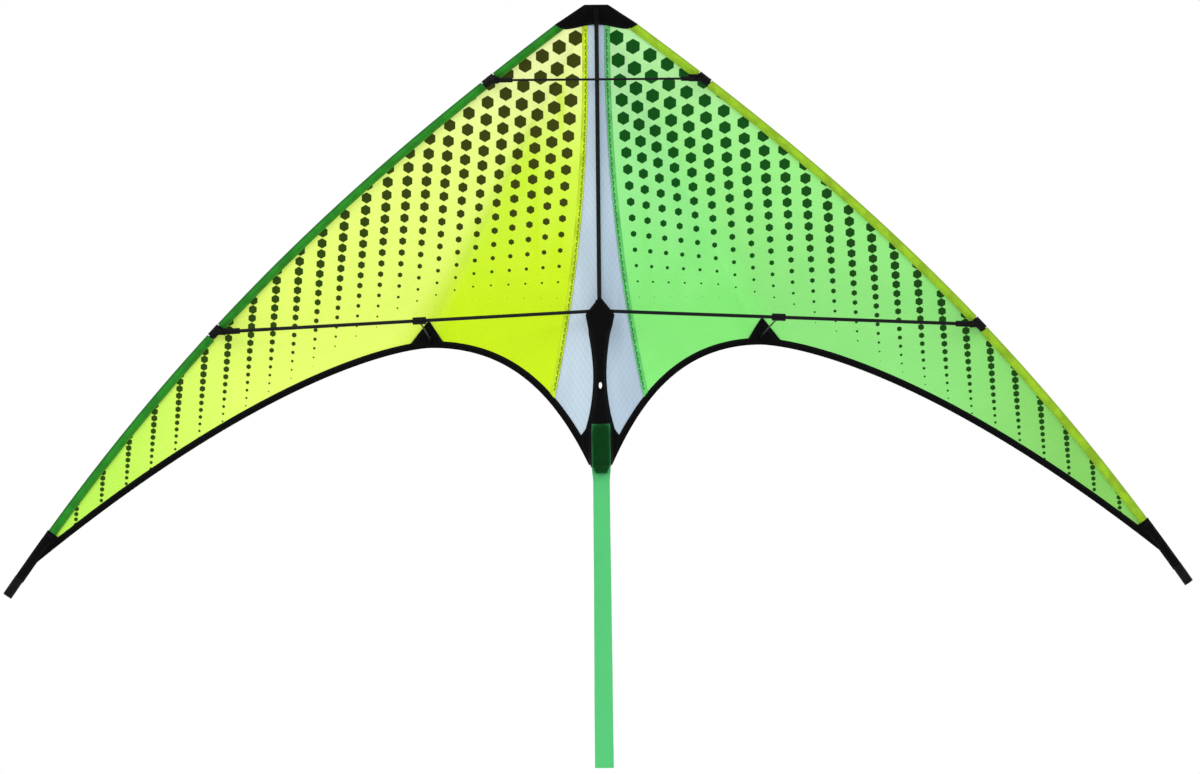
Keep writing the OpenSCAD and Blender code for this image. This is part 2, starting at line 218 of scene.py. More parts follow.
def le_axis(x):
    """Axis of the leading edge rod."""
    px, pz = inside(le_z, x, SLEEVE / 2)
    return Vector((px, le_y(polar(px, pz)[0]), pz))


# Meshes
def piece(name, side, points, faces, material, body, slot, crease=40, shade=True):
    """A mesh from points in millimetres on the right wing, mirrored for the left one."""
    flip = side < 0
    mesh = bpy.data.meshes.new(name)
    mesh.from_pydata(
        [((-p[0] if flip else p[0]) * MM, p[1] * MM, p[2] * MM) for p in points],
        [],
        [tuple(reversed(f)) for f in faces] if flip else faces,
    )
    mesh.validate()
    mesh.polygons.foreach_set("use_smooth", [shade] * len(mesh.polygons))
    mesh.set_sharp_from_angle(angle=math.radians(crease))
    mesh.materials.append(material)
    o = bpy.data.objects.new(name, mesh)
    bpy.context.scene.collection.objects.link(o)
    if body:
        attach(o, body)
    return o


def grid_faces(rows, cols, first=0, turned=False):
    """Quads between rows of points; turned round, they face the other way."""
    out = []
    for i in range(rows - 1):
        for j in range(cols - 1):
            a = first + i * cols + j
            f = (a, a + 1, a + cols + 1, a + cols)
            out.append(tuple(reversed(f)) if turned else f)
    return out


def cloth(front, back):
    """A closed sheet between two grids of points. Rows run down and columns outward."""
    rows, cols = len(front), len(front[0])
    n = rows * cols
    points = [p for row in front for p in row] + [p for row in back for p in row]
    faces = grid_faces(rows, cols, 0, True) + grid_faces(rows, cols, n)
    rim = list(range(cols))
    rim += [i * cols + cols - 1 for i in range(1, rows)]
    rim += [(rows - 1) * cols + j for j in range(cols - 2, -1, -1)]
    rim += [i * cols for i in range(rows - 2, 0, -1)]
    for k, a in enumerate(rim):
        b = rim[(k + 1) % len(rim)]
        faces.append((a, b, n + b, n + a))
    return points, faces


def layered(grid, t):
    """Front and back of a sheet t thick about a grid of points."""
    half = Vector((0, t / 2, 0))
    front = [[p - half for p in row] for row in grid]
    back = [[p + half for p in row] for row in grid]
    return cloth(front, back)


def sweep(rings):
    """A closed tube through rings of points, capped at both ends."""
    n = len(rings[0])
    points = [p for ring in rings for p in ring]
    faces = []
    for i in range(len(rings) - 1):
        for k in range(n):
            q = (k + 1) % n
            faces.append((i * n + k, i * n + q, (i + 1) * n + q, (i + 1) * n + k))
    last = (len(rings) - 1) * n
    faces.append(tuple(range(n - 1, -1, -1)))
    faces.append(tuple(range(last, last + n)))
    return points, faces


def joined(parts):
    """Several (points, faces) as one."""
    points, faces = [], []
    for p, f in parts:
        faces += [tuple(i + len(points) for i in face) for face in f]
        points += p
    return points, faces


def stitch(a, b, up, width, height):
    """One stitch: a low ridge of thread from a to b that stands up off the cloth."""
    along = (b - a).normalized()
    across = along.cross(up).normalized() * width / 2
    mid = [mix(a, b, t) for t in (0.22, 0.78)]
    rise = up * height
    points = [a - up * 0.1, b - up * 0.1]
    for m in mid:
        points += [m - across, m + rise, m + across]
    faces = [
        (0, 2, 3), (0, 3, 4), (1, 6, 5), (1, 7, 6), (2, 5, 6, 3), (3, 6, 7, 4),
        (0, 4, 2), (1, 5, 7), (2, 4, 7, 5),
    ]
    return points, faces


# Share of the pitch between two stitches in a straight row.
STITCH_GAP = 0.25


def seam(path, pitch, width, height, swing=0.0):
    """Stitches along a path of (point, normal) pairs; swing makes them a zigzag."""
    marks = [Vector(p) for p, _ in path]
    ups = [Vector(n).normalized() for _, n in path]
    runs = [0.0]
    for a, b in zip(marks, marks[1:]):
        runs.append(runs[-1] + (b - a).length)
    count = max(2, int(runs[-1] / pitch))
    spots = []
    k = 0
    for i in range(count + 1):
        s = runs[-1] * i / count
        while k < len(runs) - 2 and runs[k + 1] < s:
            k += 1
        t = clamp((s - runs[k]) / max(1e-6, runs[k + 1] - runs[k]))
        p = mix(marks[k], marks[k + 1], t)
        up = mix(ups[k], ups[k + 1], t).normalized()
        across = (marks[k + 1] - marks[k]).normalized().cross(up)
        spots.append((p + across * (swing if i % 2 else -swing) / 2, up))
    parts = []
    for (a, up), (b, _) in zip(spots, spots[1:]):
        ends = (a, b) if swing else (mix(a, b, STITCH_GAP / 2), mix(a, b, 1 - STITCH_GAP / 2))
        parts.append(stitch(*ends, up, width, height))
    return joined(parts)


# Materials
class Val:
    """A socket of a material's node tree that can stand in sums."""

    def __init__(self, tree, socket):
        self.tree, self.socket = tree, socket

    def op(self, kind, *others):
        node = self.tree.nodes.new("ShaderNodeMath")
        node.operation = kind
        for socket, value in zip(node.inputs, (self,) + others):
            if isinstance(value, Val):
                self.tree.links.new(value.socket, socket)
            else:
                socket.default_value = value
        return Val(self.tree, node.outputs[0])

    def __add__(self, o):
        return self.op("ADD", o)

    def __sub__(self, o):
        return self.op("SUBTRACT", o)

    def __mul__(self, o):
        return self.op("MULTIPLY", o)

    def __truediv__(self, o):
        return self.op("DIVIDE", o)

    def ramp(self, a, b):
        """0 at a, 1 at b, smooth between them."""
        node = self.tree.nodes.new("ShaderNodeMapRange")
        node.interpolation_type = "SMOOTHSTEP"
        self.tree.links.new(self.socket, node.inputs["Value"])
        for name, value in (("From Min", a), ("From Max", b)):
            if isinstance(value, Val):
                self.tree.links.new(value.socket, node.inputs[name])
            else:
                node.inputs[name].default_value = value
        return Val(self.tree, node.outputs["Result"])

    def ridges(self, start):
        """A thin line at each whole number; the nearer start is to 0.5, the thinner."""
        return self.op("FRACT").op("SUBTRACT", 0.5).op("ABSOLUTE").ramp(start, 0.5)


def linear(rgb):
    """An sRGB colour of 0 to 255 as a linear one."""
    parts = [c / 255 / 12.92 if c <= 10 else ((c / 255 + 0.055) / 1.055) ** 2.4 for c in rgb]
    return (*parts, 1.0)


def darker(rgb, share):
    return tuple(int(c * share) for c in rgb)


class Paint:
    """A material with one Principled shader and short ways to its nodes."""

    def __init__(self, name, roughness, **sockets):
        self.material = bpy.data.materials.new(name)
        self.material.use_nodes = True
        self.tree = self.material.node_tree
        self.shader = self.tree.nodes["Principled BSDF"]
        self.shader.inputs["Roughness"].default_value = roughness
        for key, value in sockets.items():
            self.shader.inputs[key.replace("_", " ")].default_value = value

    def node(self, kind, **values):
        node = self.tree.nodes.new(kind)
        for key, value in values.items():
            if hasattr(node, key):
                setattr(node, key, value)
            else:
                node.inputs[key.replace("_", " ")].default_value = value
        return node

    def link(self, a, b):
        self.tree.links.new(a, b)

    def attribute(self, name):
        """The three parts of a vector kept at the mesh's points."""
        node = self.node("ShaderNodeAttribute", attribute_name=name)
        split = self.node("ShaderNodeSeparateXYZ")
        self.link(node.outputs["Vector"], split.inputs[0])
        return [Val(self.tree, s) for s in split.outputs]

    def place(self):
        """Object coordinates in metres."""
        return self.node("ShaderNodeTexCoord").outputs["Object"]

    def noise(self, scale, detail, stretch=(1, 1, 1)):
        node = self.node("ShaderNodeTexNoise", Scale=scale, Detail=detail)
        mapping = self.node("ShaderNodeMapping", Scale=stretch)
        self.link(self.place(), mapping.inputs["Vector"])
        self.link(mapping.outputs[0], node.inputs["Vector"])
        return Val(self.tree, node.outputs["Fac"])

    def wave(self, scale, direction, turn=(0, 0, 0)):
        node = self.node("ShaderNodeTexWave", bands_direction=direction, Scale=scale)
        mapping = self.node("ShaderNodeMapping", Rotation=turn)
        self.link(self.place(), mapping.inputs["Vector"])
        self.link(mapping.outputs[0], node.inputs["Vector"])
        return Val(self.tree, node.outputs["Fac"])

    def blend(self, factor, a, b, kind="MIX"):
        """A mix of two colours, each an sRGB triple or a colour socket."""
        node = self.tree.nodes.new("ShaderNodeMix")
        node.data_type = "RGBA"
        node.blend_type = kind
        if isinstance(factor, Val):
            self.link(factor.socket, node.inputs["Factor"])
        else:
            node.inputs["Factor"].default_value = factor
        for socket, value in ((node.inputs["A"], a), (node.inputs["B"], b)):
            if isinstance(value, tuple):
                socket.default_value = linear(value)
            else:
                self.link(value, socket)
        return node.outputs["Result"]

    def colour(self, socket):
        self.link(socket, self.shader.inputs["Base Color"])

    def bump(self, height, distance, strength):
        node = self.node("ShaderNodeBump", Distance=distance, Strength=strength)
        self.link(height.socket, node.inputs["Height"])
        self.link(node.outputs[0], self.shader.inputs["Normal"])

    def roughen(self, value):
        self.link(value.socket, self.shader.inputs["Roughness"])


# The printed dots stand in columns that fan out and in rows that close up towards the wing tip.
COLUMN_0 = 26.3
COLUMN_STEP = 20.0
COLUMN_GROWTH = 0.35
COLUMN_LEAN = 0.08
ROW_PITCH = 21.0
ROW_FADE = 580.0
LAST_ROW = 15.0
# The first rows of a column are spread by up to ROW_SPREAD rows, which fades over SPREAD_ROWS.
ROW_SPREAD = 1.5
SPREAD_ROWS = 3.0
# Depth below the nose of the columns' heads: TOP_START + TOP_SLOPE * x + TOP_BEND * x * x.
TOP_START = 41.0
TOP_SLOPE = 0.0876
TOP_BEND = 0.0013
# Depth of their last rows: FOOT_DEPTH as far out as FOOT_FLAT, and FOOT_FALL more FOOT_RUN further.
FOOT_DEPTH = 373.0
FOOT_FLAT = 125.0
FOOT_RUN = 375.0
FOOT_FALL = 165.0
FOOT_POWER = 1.55
# Dots shrink from row to row and end after LIVE_ROWS rows, or more of them beyond LIVE_FROM.
LIVE_ROWS = 15.7
LIVE_FROM = 235.0
LIVE_GAIN = 0.012
SHRINK_POWER = 1.5
# They also shrink a little from column to column.
SIZE_FADE = 900.0
DOT_RADIUS = 19.0 * 0.476
DOT_EDGE = 0.35


def print_top(x):
    return x * TOP_SLOPE + x * x * TOP_BEND + TOP_START


def row_spread(row):
    return (row / -SPREAD_ROWS).op("EXPONENT") * ROW_SPREAD


def dots(x, depth):
    """1 inside a printed hexagon, 0 outside it, for x and depth in millimetres."""
    top = print_top(x)
    u = (x - (depth - top) * COLUMN_LEAN - COLUMN_0).op("MAXIMUM", 0.0)
    root = (u * (4 * COLUMN_GROWTH) + COLUMN_STEP**2).op("SQRT")
    column = ((root - COLUMN_STEP) / (2 * COLUMN_GROWTH)).op("ROUND")
    middle = column * COLUMN_STEP + column * column * COLUMN_GROWTH + COLUMN_0
    middle_top = print_top(middle)
    pitch = (middle / -ROW_FADE).op("EXPONENT") * ROW_PITCH
    outward = (middle - FOOT_FLAT).op("MAXIMUM", 0.0) / FOOT_RUN
    end = outward.op("POWER", FOOT_POWER) * FOOT_FALL + FOOT_DEPTH
    # The rows' spacing settles towards the foot, so the row is found in two steps.
    plain = (end - depth) / pitch * -1.0 + LAST_ROW
    first = plain + row_spread(plain.op("MAXIMUM", 0.0))
    row = (plain + row_spread(first)).op("ROUND")
    row_depth = end - pitch * (row * -1.0 + LAST_ROW + row_spread(row))
    dx = (x - middle - (row_depth - middle_top) * COLUMN_LEAN).op("ABSOLUTE")
    dz = (depth - row_depth).op("ABSOLUTE")
    hexagon = dx.op("MAXIMUM", dx * 0.5 + dz * 0.866)
    live = (middle - LIVE_FROM).op("MAXIMUM", 0.0) * LIVE_GAIN + LIVE_ROWS
    gone = (row.op("MAXIMUM", 0.0) / live).op("MINIMUM", 1.0).op("POWER", SHRINK_POWER)
    size = (middle / -SIZE_FADE).op("EXPONENT") * (gone * -1.0 + 1.0) * DOT_RADIUS
    within = hexagon.ramp(size + DOT_EDGE, size - DOT_EDGE)
    # Dots too small to print are left out.
    return within * size.ramp(0.3, 0.7)


def sailcloth(name, inner_shaded_colours, outer_lit_colours, tip_shade, ink):
    """Printed ripstop. Each facet has its colours at the nose, middle and foot, and the outer one
    fades into the tip's. The inner facet's deeper colours are partly the print's and partly painted
    shade; ink is the dots' colour, near the spine and far from it."""
    p = Paint(name, 0.6, Specular_IOR_Level=0.1)
    x, depth, facet = p.attribute("print_at_and_shade")
    middle = depth.ramp(40.0, 230.0)
    foot = depth.ramp(200.0, 400.0)
    inner = p.blend(foot, p.blend(middle, *inner_shaded_colours[:2]), inner_shaded_colours[2])
    # Painted shade of long folds: streaks beside the seam take the cloth's fuller foot colour.
    folds = p.noise(34.0, 1.0, (1, 1, 0.12)).ramp(0.5, 0.62) * x.ramp(150.0, 50.0)
    inner = p.blend(folds * depth.ramp(60.0, 140.0) * 0.7, inner, inner_shaded_colours[2])
    outer = p.blend(foot, p.blend(middle, *outer_lit_colours[:2]), outer_lit_colours[2])
    outer = p.blend(x.ramp(380.0, 690.0), outer, tip_shade)
    # Painted shade: the inner facet takes the deeper colours and the outer facet the paler ones.
    cloth_colour = p.blend(facet, inner, outer)
    cloud = p.noise(14.0, 3.0, (1, 0.2, 1))
    unevenness = (cloud - 0.5).op("ABSOLUTE") * 0.5
    cloth_colour = p.blend(unevenness, cloth_colour, (255, 255, 255), "SOFT_LIGHT")
    # Heavier threads cross the cloth every five millimetres.
    along = (x * 0.96 + depth * 0.28) / 5.0
    across = (depth * 0.96 - x * 0.28) / 5.0
    rib = along.ridges(0.44).op("MAXIMUM", across.ridges(0.44))
    cloth_colour = p.blend(rib * 0.10, cloth_colour, darker(inner_shaded_colours[1], 0.55))
    inked = p.blend(x.ramp(120.0, 420.0), *ink)
    p.colour(p.blend(dots(x, depth), cloth_colour, inked))
    weave = p.wave(420.0, "X", turn=(0, 0.28, 0)) + p.wave(420.0, "Z", turn=(0, 0.28, 0))
    p.bump(weave * 0.4 + rib * 1.2, 0.00012, 0.5)
    return p.material


def panel_cloth(name, shade):
    """Pale ripstop with its threads on the slant, as a closer grid."""
    p = Paint(name, 0.5, Specular_IOR_Level=0.2)
    x, depth, _ = p.attribute("print_at_and_shade")
    bands = p.noise(26.0, 2.0, (1, 1, 0.25))
    tone = p.blend(bands.ramp(0.35, 0.65), shade, tuple(min(255, c + 14) for c in shade))
    along = (x * 0.87 + depth * 0.5) / 6.0
    across = (x * 0.87 - depth * 0.5) / 6.0
    rib = along.ridges(0.42).op("MAXIMUM", across.ridges(0.42) * 0.6)
    p.colour(p.blend(rib * 0.45, tone, darker(shade, 0.82)))
    p.bump(rib, 0.0001, 0.5)
    return p.material


def tape_cloth(name, shade, edge=None):
    """Plain weave, with painted shade in another colour on its folds where the piece has any."""
    p = Paint(name, 0.6, Specular_IOR_Level=0.12)
    fold = p.attribute("print_at_and_shade")[2]
    cloud = p.noise(60.0, 4.0)
    tone = p.blend(cloud.ramp(0.35, 0.7), shade, darker(shade, 0.86))
    # Painted shade: the folds take the darker edge colour.
    p.colour(p.blend(fold, tone, edge or shade))
    weave = p.wave(300.0, "X") + p.wave(300.0, "Z")
    p.bump(weave + p.noise(120.0, 3.0) * 2.0, 0.00018, 0.6)
    return p.material


def webbing(name, shade, lighter):
    """Black polyester webbing: a diagonal weave whose ridges carry painted sheen, with lighter dust."""
    p = Paint(name, 0.8, Specular_IOR_Level=0.05)
    twill_and_sheen = p.wave(230.0, "DIAGONAL") * p.wave(299.0, "Z")
    dust = p.noise(90.0, 4.0)
    # Painted sheen on the weave's ridges, and real dust, both take the lighter colour.
    p.colour(p.blend(twill_and_sheen * 0.5 + dust.ramp(0.55, 0.8) * 0.3, shade, lighter))
    p.bump(twill_and_sheen + dust * 0.5, 0.00025, 0.7)
    return p.material


def rod_finish(name, shade, lighter):
    """Pultruded rod: fine streaks along it and a light gloss."""
    p = Paint(name, 0.38, Specular_IOR_Level=0.12)
    streak = p.noise(500.0, 3.0, (1, 1, 0.04)) * p.noise(500.0, 3.0, (0.04, 1, 1))
    p.colour(p.blend(streak.ramp(0.15, 0.45), shade, lighter))
    p.roughen(streak * 0.3 + 0.3)
    p.bump(streak, 0.00008, 0.4)
    return p.material


def moulded(name, shade, lighter):
    """Moulded rubbery plastic with a fine grain."""
    p = Paint(name, 0.5, Specular_IOR_Level=0.1)
    grain = p.noise(900.0, 3.0)
    wear = p.noise(70.0, 4.0)
    p.colour(p.blend(wear.ramp(0.5, 0.85) * 0.7, shade, lighter))
    p.roughen(wear * 0.25 + 0.36)
    p.bump(grain, 0.00012, 0.5)
    return p.material


def metal_finish(name):
    """Drawn metal, brushed along its length."""
    p = Paint(name, 0.32, Metallic=1.0)
    brush = p.noise(700.0, 2.0, (0.05, 1, 1))
    p.colour(p.blend(brush.ramp(0.3, 0.7), (150, 152, 156), (196, 198, 202)))
    p.roughen(brush * 0.2 + 0.22)
    p.bump(brush, 0.00005, 0.4)
    return p.material


def thread(name, shade, lighter):
    """Twisted sewing thread."""
    p = Paint(name, 0.7, Specular_IOR_Level=0.15)
    twist = p.wave(900.0, "DIAGONAL")
    p.colour(p.blend(twist, shade, lighter))
    p.bump(twist, 0.0001, 0.5)
    return p.material


# Share of the ribbon's shader that lets light through.
RIBBON_GLOW = 0.75


def ribbon_cloth(name, front, through, shadow):
    """Thin nylon: dark by the light that falls on it and bright by the light that comes through."""
    p = Paint(name, 0.5, Specular_IOR_Level=0.1)
    cloud = p.noise(9.0, 3.0, (1, 1, 0.5))
    p.colour(p.blend(cloud.ramp(0.35, 0.7), front, shadow))
    weave = p.wave(500.0, "X") + p.wave(500.0, "Z")
    p.bump(weave, 0.00006, 0.4)
    glow = p.node("ShaderNodeBsdfTranslucent", Color=linear(through))
    both = p.node("ShaderNodeMixShader", Fac=RIBBON_GLOW)
    p.link(p.shader.outputs[0], both.inputs[1])
    p.link(glow.outputs[0], both.inputs[2])
    p.link(both.outputs[0], p.tree.nodes["Material Output"].inputs["Surface"])
    return p.material


WEBBING = webbing("webbing_black", (5, 5, 6), (19, 19, 21))
ROD = rod_finish("rod_carbon", (6, 6, 8), (22, 23, 28))
MOULDED = moulded("moulded_black", (5, 5, 6), (18, 18, 20))
METAL = metal_finish("ferrule_metal")
BLACK_THREAD = thread("thread_black", (13, 13, 14), (38, 38, 42))
# Near-white for the painted highlight on the spine's webbing.
GLINT_PAINT = thread("painted_glint_pale", (225, 225, 228), (250, 250, 250))
RIBBON_THREAD = thread("thread_ribbon", (16, 70, 36), (30, 92, 52))
RIBBON = ribbon_cloth("ribbon_green", (26, 86, 42), (170, 249, 197), (22, 78, 38))
# Each sail's inner facet colours are partly painted shade; the outer facet's are the lit ones.
WING = {
    -1: {
        "sail": sailcloth(
            "sailcloth_yellow",
            inner_shaded_colours=[(232, 240, 158), (197, 231, 64), (189, 225, 20)],
            outer_lit_colours=[(236, 245, 168), (226, 247, 122), (220, 243, 104)],
            tip_shade=(176, 230, 80),
            ink=[(54, 60, 2), (40, 66, 2)],
        ),
        "panel": panel_cloth("panel_cloth_left", (172, 189, 203)),
        # The sleeve's second colour is painted shade on its outer fold.
        "sleeve": tape_cloth("sleeve_cloth_green", (38, 134, 32), (18, 92, 18)),
        "seam_thread": thread("thread_olive", (104, 124, 0), (132, 154, 10)),
        "seam_band": tape_cloth("seam_cloth_yellow", (194, 227, 44)),
        "sail_slot": "sail_yellow",
        "sleeve_slot": "sleeve_dark_green",
    },
    1: {
        "sail": sailcloth(
            "sailcloth_green",
            inner_shaded_colours=[(178, 226, 166), (148, 230, 140), (129, 227, 117)],
            outer_lit_colours=[(174, 231, 156), (148, 228, 128), (135, 217, 118)],
            tip_shade=(124, 192, 88),
            ink=[(4, 76, 12), (18, 64, 4)],
        ),
        "panel": panel_cloth("panel_cloth_right", (168, 187, 205)),
        # The sleeve's second colour is painted shade on its outer fold.
        "sleeve": tape_cloth("sleeve_cloth_lime", (150, 196, 38), (126, 162, 34)),
        "seam_thread": thread("thread_green", (20, 106, 52), (44, 136, 76)),
        "seam_band": tape_cloth("seam_cloth_green", (104, 204, 110)),
        "sail_slot": "sail_green",
        "sleeve_slot": "sleeve_yellow_green",
    },
}


def webbing_piece(name, side, made, body=None):
    """A piece of black webbing from (points, faces)."""
    return piece(name, side, *made, WEBBING, body, "black_webbing", crease=50)


def thread_piece(name, side, made, body=None):
    """Black stitches on webbing from (points, faces)."""
    return piece(name, side, *made, BLACK_THREAD, body, "black_webbing", shade=False)


def keep_place(o, points, facet=None):
    """Keeps each point's distance from the spine, its depth below the nose, and a third value, which carries
    painted shade where a piece has any.
    """
    layer = o.data.attributes.new("print_at_and_shade", "FLOAT_VECTOR", "POINT")
    for k, p in enumerate(points):
        third = facet(p) if facet else 0.0
        layer.data[k].vector = (abs(p[0]), NOSE_Z - p[2], third)


def fitting_gap(x):
    """1 beside a leading edge fitting, where the sleeve is cut away, and 0 elsewhere."""
    return max(1 - smooth(9.0, 13.0, abs(x - c)) for c in FIT_X)


def seam_x(t):
    """Distance of the centre seam from the spine; the seam curves outward towards its foot."""
    return mix(SEAM_TOP, SEAM_FOOT, t**2.1)


SAIL_TOP = NOSE_Z - 20
SEAM_END = inside(te_z, SEAM_FOOT, HEM)


def seam_at(t):
    """The centre seam, from the nose (0) to the trailing edge (1), as (x, z)."""
    return seam_x(t) + (SEAM_END[0] - SEAM_FOOT) * t, mix(SAIL_TOP, SEAM_END[1], t)


TIP_IN = 716.0


def tension(x, z, side):
    """Small waves of the cloth: folds that run from the nose and soft unevenness between them."""
    r, a = polar(x, z)
    fan = math.sin(a * 46 + 3 * noise.noise(Vector((r / 300, a * 4, side)))) * 0.35 * smooth(60, 260, r)
    soft = noise.noise(Vector((x / 120, z / 95, 2.0 * side))) * 2.2
    pleat = noise.noise(Vector((x / 30, z / 260, 5.0 + side))) * 0.5
    return fan + soft + pleat


# Columns of the sail's mesh from the seam to the crease, and from the crease to the tip.
SAIL_INNER = 26
SAIL_OUTER = 110


def crease_at(v):
    """The fold from the nose (0) to the standoff (1), as (x, z)."""
    return mix_pair((CREASE_TOP, SAIL_TOP), (STANDOFF_X, inside(te_z, STANDOFF_X, HEM)[1]), v)


def sail_point(i, v):
    """The point of column i, v of the way down, as (x, z)."""
    if i == 0:
        return seam_at(v)
    if i < SAIL_INNER:
        u = i / SAIL_INNER
        top = (mix(SEAM_TOP, CREASE_TOP, u), SAIL_TOP)
        foot = inside(te_z, mix(SEAM_FOOT, STANDOFF_X, u), HEM)
    else:
        u = (i - SAIL_INNER) / SAIL_OUTER
        x = mix(CREASE_TOP, TIP_IN, u**1.08)
        top = inside(le_z, x, 8.3 - 0.7 * fitting_gap(x))
        top = (top[0], min(top[1], SAIL_TOP))
        foot = inside(te_z, mix(STANDOFF_X, TIP_IN - 14, u), HEM)
    straight = mix_pair(top, foot, v)
    if i > SAIL_INNER:
        return straight
    # Between the seam and the crease the rows run level until they near the foot.
    level = mix_pair(seam_at(v), crease_at(v), i / SAIL_INNER)
    return mix_pair(level, straight, smooth(0.6, 1, v))


def sail_panel(side):
    """The printed cloth of one wing, from the centre seam to the tip."""
    rows, cols = 64, SAIL_INNER + SAIL_OUTER
    grid = []
    for j in range(rows + 1):
        v = j / rows
        row = []
        for i in range(cols + 1):
            p = sail_point(i, v)
            calm = min(1, 6 * v, 6 * (1 - v)) * min(1, i / 8, (cols - i) / 10)
            row.append(lift(p, calm * tension(*p, side)))
        grid.append(row)
    points, faces = layered(grid, CLOTH_T)
    o = piece("sail_cloth_" + SIDES[side], side, points, faces, WING[side]["sail"],
              "wing_" + SIDES[side], WING[side]["sail_slot"], crease=60)
    # The third value marks the outer facet, so the inner facet gets the painted shade.
    keep_place(o, points, lambda p: smooth(RIDGE - 0.03, RIDGE + 0.10, polar(p[0], p[2])[1]))
    return o


# The panels stop short of the spine, so that they clear each other when the wings fold back.
PANEL_EDGE = 1.8
PANEL_FOOT = -161.0


def centre_cloth(side):
    """The pale cloth between the spine and the seam."""
    rows, cols = 70, 14
    grid = []
    for j in range(rows + 1):
        v = j / rows
        row = []
        for i in range(cols + 1):
            u = i / cols
            x = mix(PANEL_EDGE, seam_at(v)[0] + 4.0, u)
            # Rows fan out so that the last one follows the trailing edge.
            z = mix(SAIL_TOP, hem_z(x, PANEL_FOOT), v)
            wave = 1.1 * noise.noise(Vector((x / 26, z / 140, 9.0 + side))) * math.sin(math.pi * v)
            behind = 0.5 * smooth(0, 0.25, u)
            row.append(lift((x, z), behind + wave * smooth(0, 0.3, u) * (1 - smooth(0.75, 1, u))))
        grid.append(row)
    points, faces = layered(grid, CLOTH_T)
    o = piece("centre_cloth_" + SIDES[side], side, points, faces, WING[side]["panel"],
              "wing_" + SIDES[side], "centre_cloth", crease=60)
    keep_place(o, points)
    return o


def edge_distance(x, z):
    """Distance of a point from the trailing edge."""
    return (z - te_z(x)) / math.hypot(slope(te_z, x), 1)


def seam_band(side):
    """The folded edge of the sail along the centre seam, with its zigzag stitching."""
    marks = 90
    width = 7.0
    grid, path = [], []
    for k in range(marks + 1):
        t = k / marks
        x, z = seam_at(t)
        row = []
        for w in (0, 0.25, 0.5, 0.75, 1):
            across = x + width * w - 1.0
            p = (across, hem_z(across, z))
            under = smooth(BINDING + 2, BINDING - 1, edge_distance(*p))
            row.append(lift(p, mix(-0.55 - 0.25 * math.sin(math.pi * w), -0.15, under)))
        grid.append(row)
        if edge_distance(x + 1.0, z) > BINDING + 1.5:
            path.append((lift((x + 1.0, z), -0.95), (0, -1, 0)))
    points, faces = layered(grid, 0.4)
    band = piece("seam_fold_" + SIDES[side], side, points, faces, WING[side]["seam_band"],
                 "wing_" + SIDES[side], WING[side]["sail_slot"], crease=60)
    keep_place(band, points)
    points, faces = seam(path[2:], 3.9, swing=3.2, width=2.0, height=0.5)
    piece("seam_stitches_" + SIDES[side], side, points, faces, WING[side]["seam_thread"],
          "wing_" + SIDES[side], WING[side]["sail_slot"], shade=False)
    return band


# Half of the sleeve's section: distance inward from the rod's axis, and height off the middle.
SLEEVE_SECTION = [(-4.9, 0.0), (-4.5, 1.7), (-3.5, 3.0), (-2.0, 3.8), (-0.4, 4.1), (1.2, 3.8),
                  (2.6, 2.9), (3.6, 1.9), (4.5, 1.2), (5.4, 0.95), (6.3, 0.85), (6.6, 0.45)]


def ring_at(x, section, seed, scale=1.0, rough=0.08):
    """A section laid round the leading edge at x, with the cloth's small unevenness."""
    centre = le_axis(x)
    n = inward(le_z, x)
    ring = []
    for half in (-1, 1):
        row = section if half < 0 else list(reversed(section[1:-1]))
        for a, h in row:
            lump = 1 + rough * noise.noise(Vector((x / 14, a / 5, seed + half))) * 2
            pull = 0.3 * noise.noise(Vector((x / 22, seed, 3.0))) if a > 3 else 0.0
            out = a * scale + pull
            ring.append(centre + Vector((n[0] * out, half * h * lump * scale, n[1] * out)))
    return ring


def edge_marks(x0, x1, step):
    n = max(2, int((x1 - x0) / step))
    return [mix(x0, x1, k / n) for k in range(n + 1)]


def hem_path(x0, x1, w, dy):
    """A line w inside the rod's axis on the front of the sleeve, with its normals."""
    out = []
    for x in edge_marks(x0, x1, 6):
        n = inward(le_z, x)
        out.append((le_axis(x) + Vector((n[0] * w, dy, n[1] * w)), (0, -1, 0)))
    return out


# Where the sleeve starts beside the nose, and its gap at a fitting, measured along the edge.
SLEEVE_TOP = 48.5
FITTING_GAP = 19.5


def sleeve(side):
    """The leading edge sleeve, cut away at the fittings, and its stitches."""
    x_end = high("leading_edge_sleeve_right").x
    cuts = [SLEEVE_TOP]
    for x in FIT_X:
        half = FITTING_GAP / 2 / math.hypot(slope(le_z, x), 1)
        cuts += [x - half, x + half]
    cuts.append(x_end + 1)
    parts, threads = [], []
    for a, b in zip(cuts[::2], cuts[1::2]):
        rings = [ring_at(x, SLEEVE_SECTION, side * 7.0) for x in edge_marks(a, b, 3.5)]
        parts.append(sweep(rings))
        threads.append(seam(hem_path(a + 2, b - 2, 5.2, -0.95), 3.2, width=0.6, height=0.35))
    points, faces = joined(parts)
    name = SIDES[side]
    o = piece("leading_edge_sleeve_cloth_" + name, side, points, faces, WING[side]["sleeve"],
              "wing_" + name, WING[side]["sleeve_slot"], crease=70)

    def fold(p):
        # The outer fold is darker with painted shade, and the end hems are darker.
        x = abs(p[0])
        n = inward(le_z, x)
        base = le_axis(x)
        d = (p[0] - base.x) * n[0] + (p[2] - base.z) * n[1]
        ends = max(1 - smooth(2, 5, abs(x - c)) for c in cuts)
        return max(1 - smooth(-4.2, -2.2, d), 0.5 * ends)

    keep_place(o, points, fold)
    points, faces = joined(threads)
    piece("leading_edge_stitches_" + name, side, points, faces, WING[side]["seam_thread"],
          "wing_" + name, WING[side]["sleeve_slot"], shade=False)
    return o


